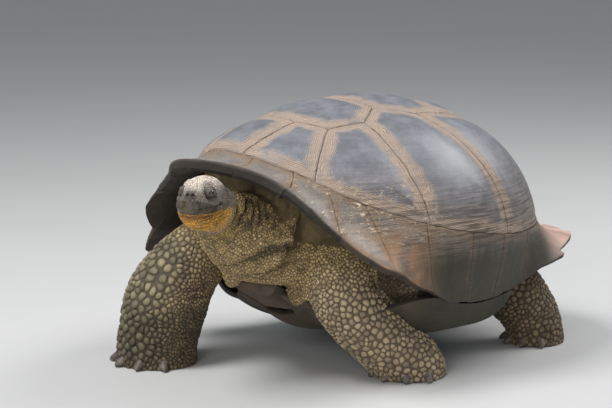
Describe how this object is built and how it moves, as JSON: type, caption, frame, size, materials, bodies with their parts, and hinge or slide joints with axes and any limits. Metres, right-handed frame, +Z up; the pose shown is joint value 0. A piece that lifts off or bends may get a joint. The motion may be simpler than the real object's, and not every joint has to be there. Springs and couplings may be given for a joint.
{
  "type": "giant tortoise",
  "caption": "Life-size still model of a walking domed giant tortoise with a high plated shell, pebble-scaled pillar legs and the head turned out under the front rim.",
  "frame": {"origin": "centre of the bounding box's bottom face, on the floor the animal stands on", "axes": "+Z up, the animal faces -Y, its left side is +X"},
  "size_m": [0.9128, 1.2946, 0.691],
  "materials": {
    "shell_plate": "worn horn, semi-matt",
    "rim_plate": "worn horn, semi-matt",
    "belly_plate": "scuffed horn, matt",
    "skin": "dry scaly hide, matt",
    "chin_skin": "fine granular hide, matt",
    "beak": "smooth dark horn",
    "eye": "wet gloss"
  },
  "bodies": {
    "root": {"vertebral_1": "shell_plate", "vertebral_2": "shell_plate", "vertebral_3": "shell_plate", "vertebral_4": "shell_plate", "vertebral_5": "shell_plate", "costal_left_1": "shell_plate", "costal_right_1": "shell_plate", "costal_left_2": "shell_plate", "costal_right_2": "shell_plate", "costal_left_3": "shell_plate", "costal_right_3": "shell_plate", "costal_left_4": "shell_plate", "costal_right_4": "shell_plate", "marginal_left_1": "rim_plate", "marginal_right_1": "rim_plate", "marginal_left_2": "rim_plate", "marginal_right_2": "rim_plate", "marginal_left_3": "rim_plate", "marginal_right_3": "rim_plate", "marginal_left_4": "rim_plate", "marginal_right_4": "rim_plate", "marginal_left_5": "rim_plate", "marginal_right_5": "rim_plate", "marginal_left_6": "rim_plate", "marginal_right_6": "rim_plate", "marginal_left_7": "rim_plate", "marginal_right_7": "rim_plate", "marginal_left_8": "rim_plate", "marginal_right_8": "rim_plate", "marginal_left_9": "rim_plate", "marginal_right_9": "rim_plate", "marginal_left_10": "rim_plate", "marginal_right_10": "rim_plate", "marginal_left_11": "rim_plate", "marginal_right_11": "rim_plate", "supracaudal": "rim_plate", "plastron_gular": "belly_plate", "plastron_front_left": "belly_plate", "plastron_front_right": "belly_plate", "plastron_middle_left": "belly_plate", "plastron_middle_right": "belly_plate", "plastron_rear_left": "belly_plate", "plastron_rear_right": "belly_plate", "trunk": "skin", "head": "skin", "upper_beak": "beak", "lower_jaw": "chin_skin", "lower_beak": "beak", "eye_left": "eye", "eye_right": "eye", "chest": "skin", "neck": "skin", "foreleg_right": "skin", "foreleg_left": "skin", "hindleg_left": "skin", "hindleg_right": "skin", "tail": "skin"}
  },
  "joints": []
}
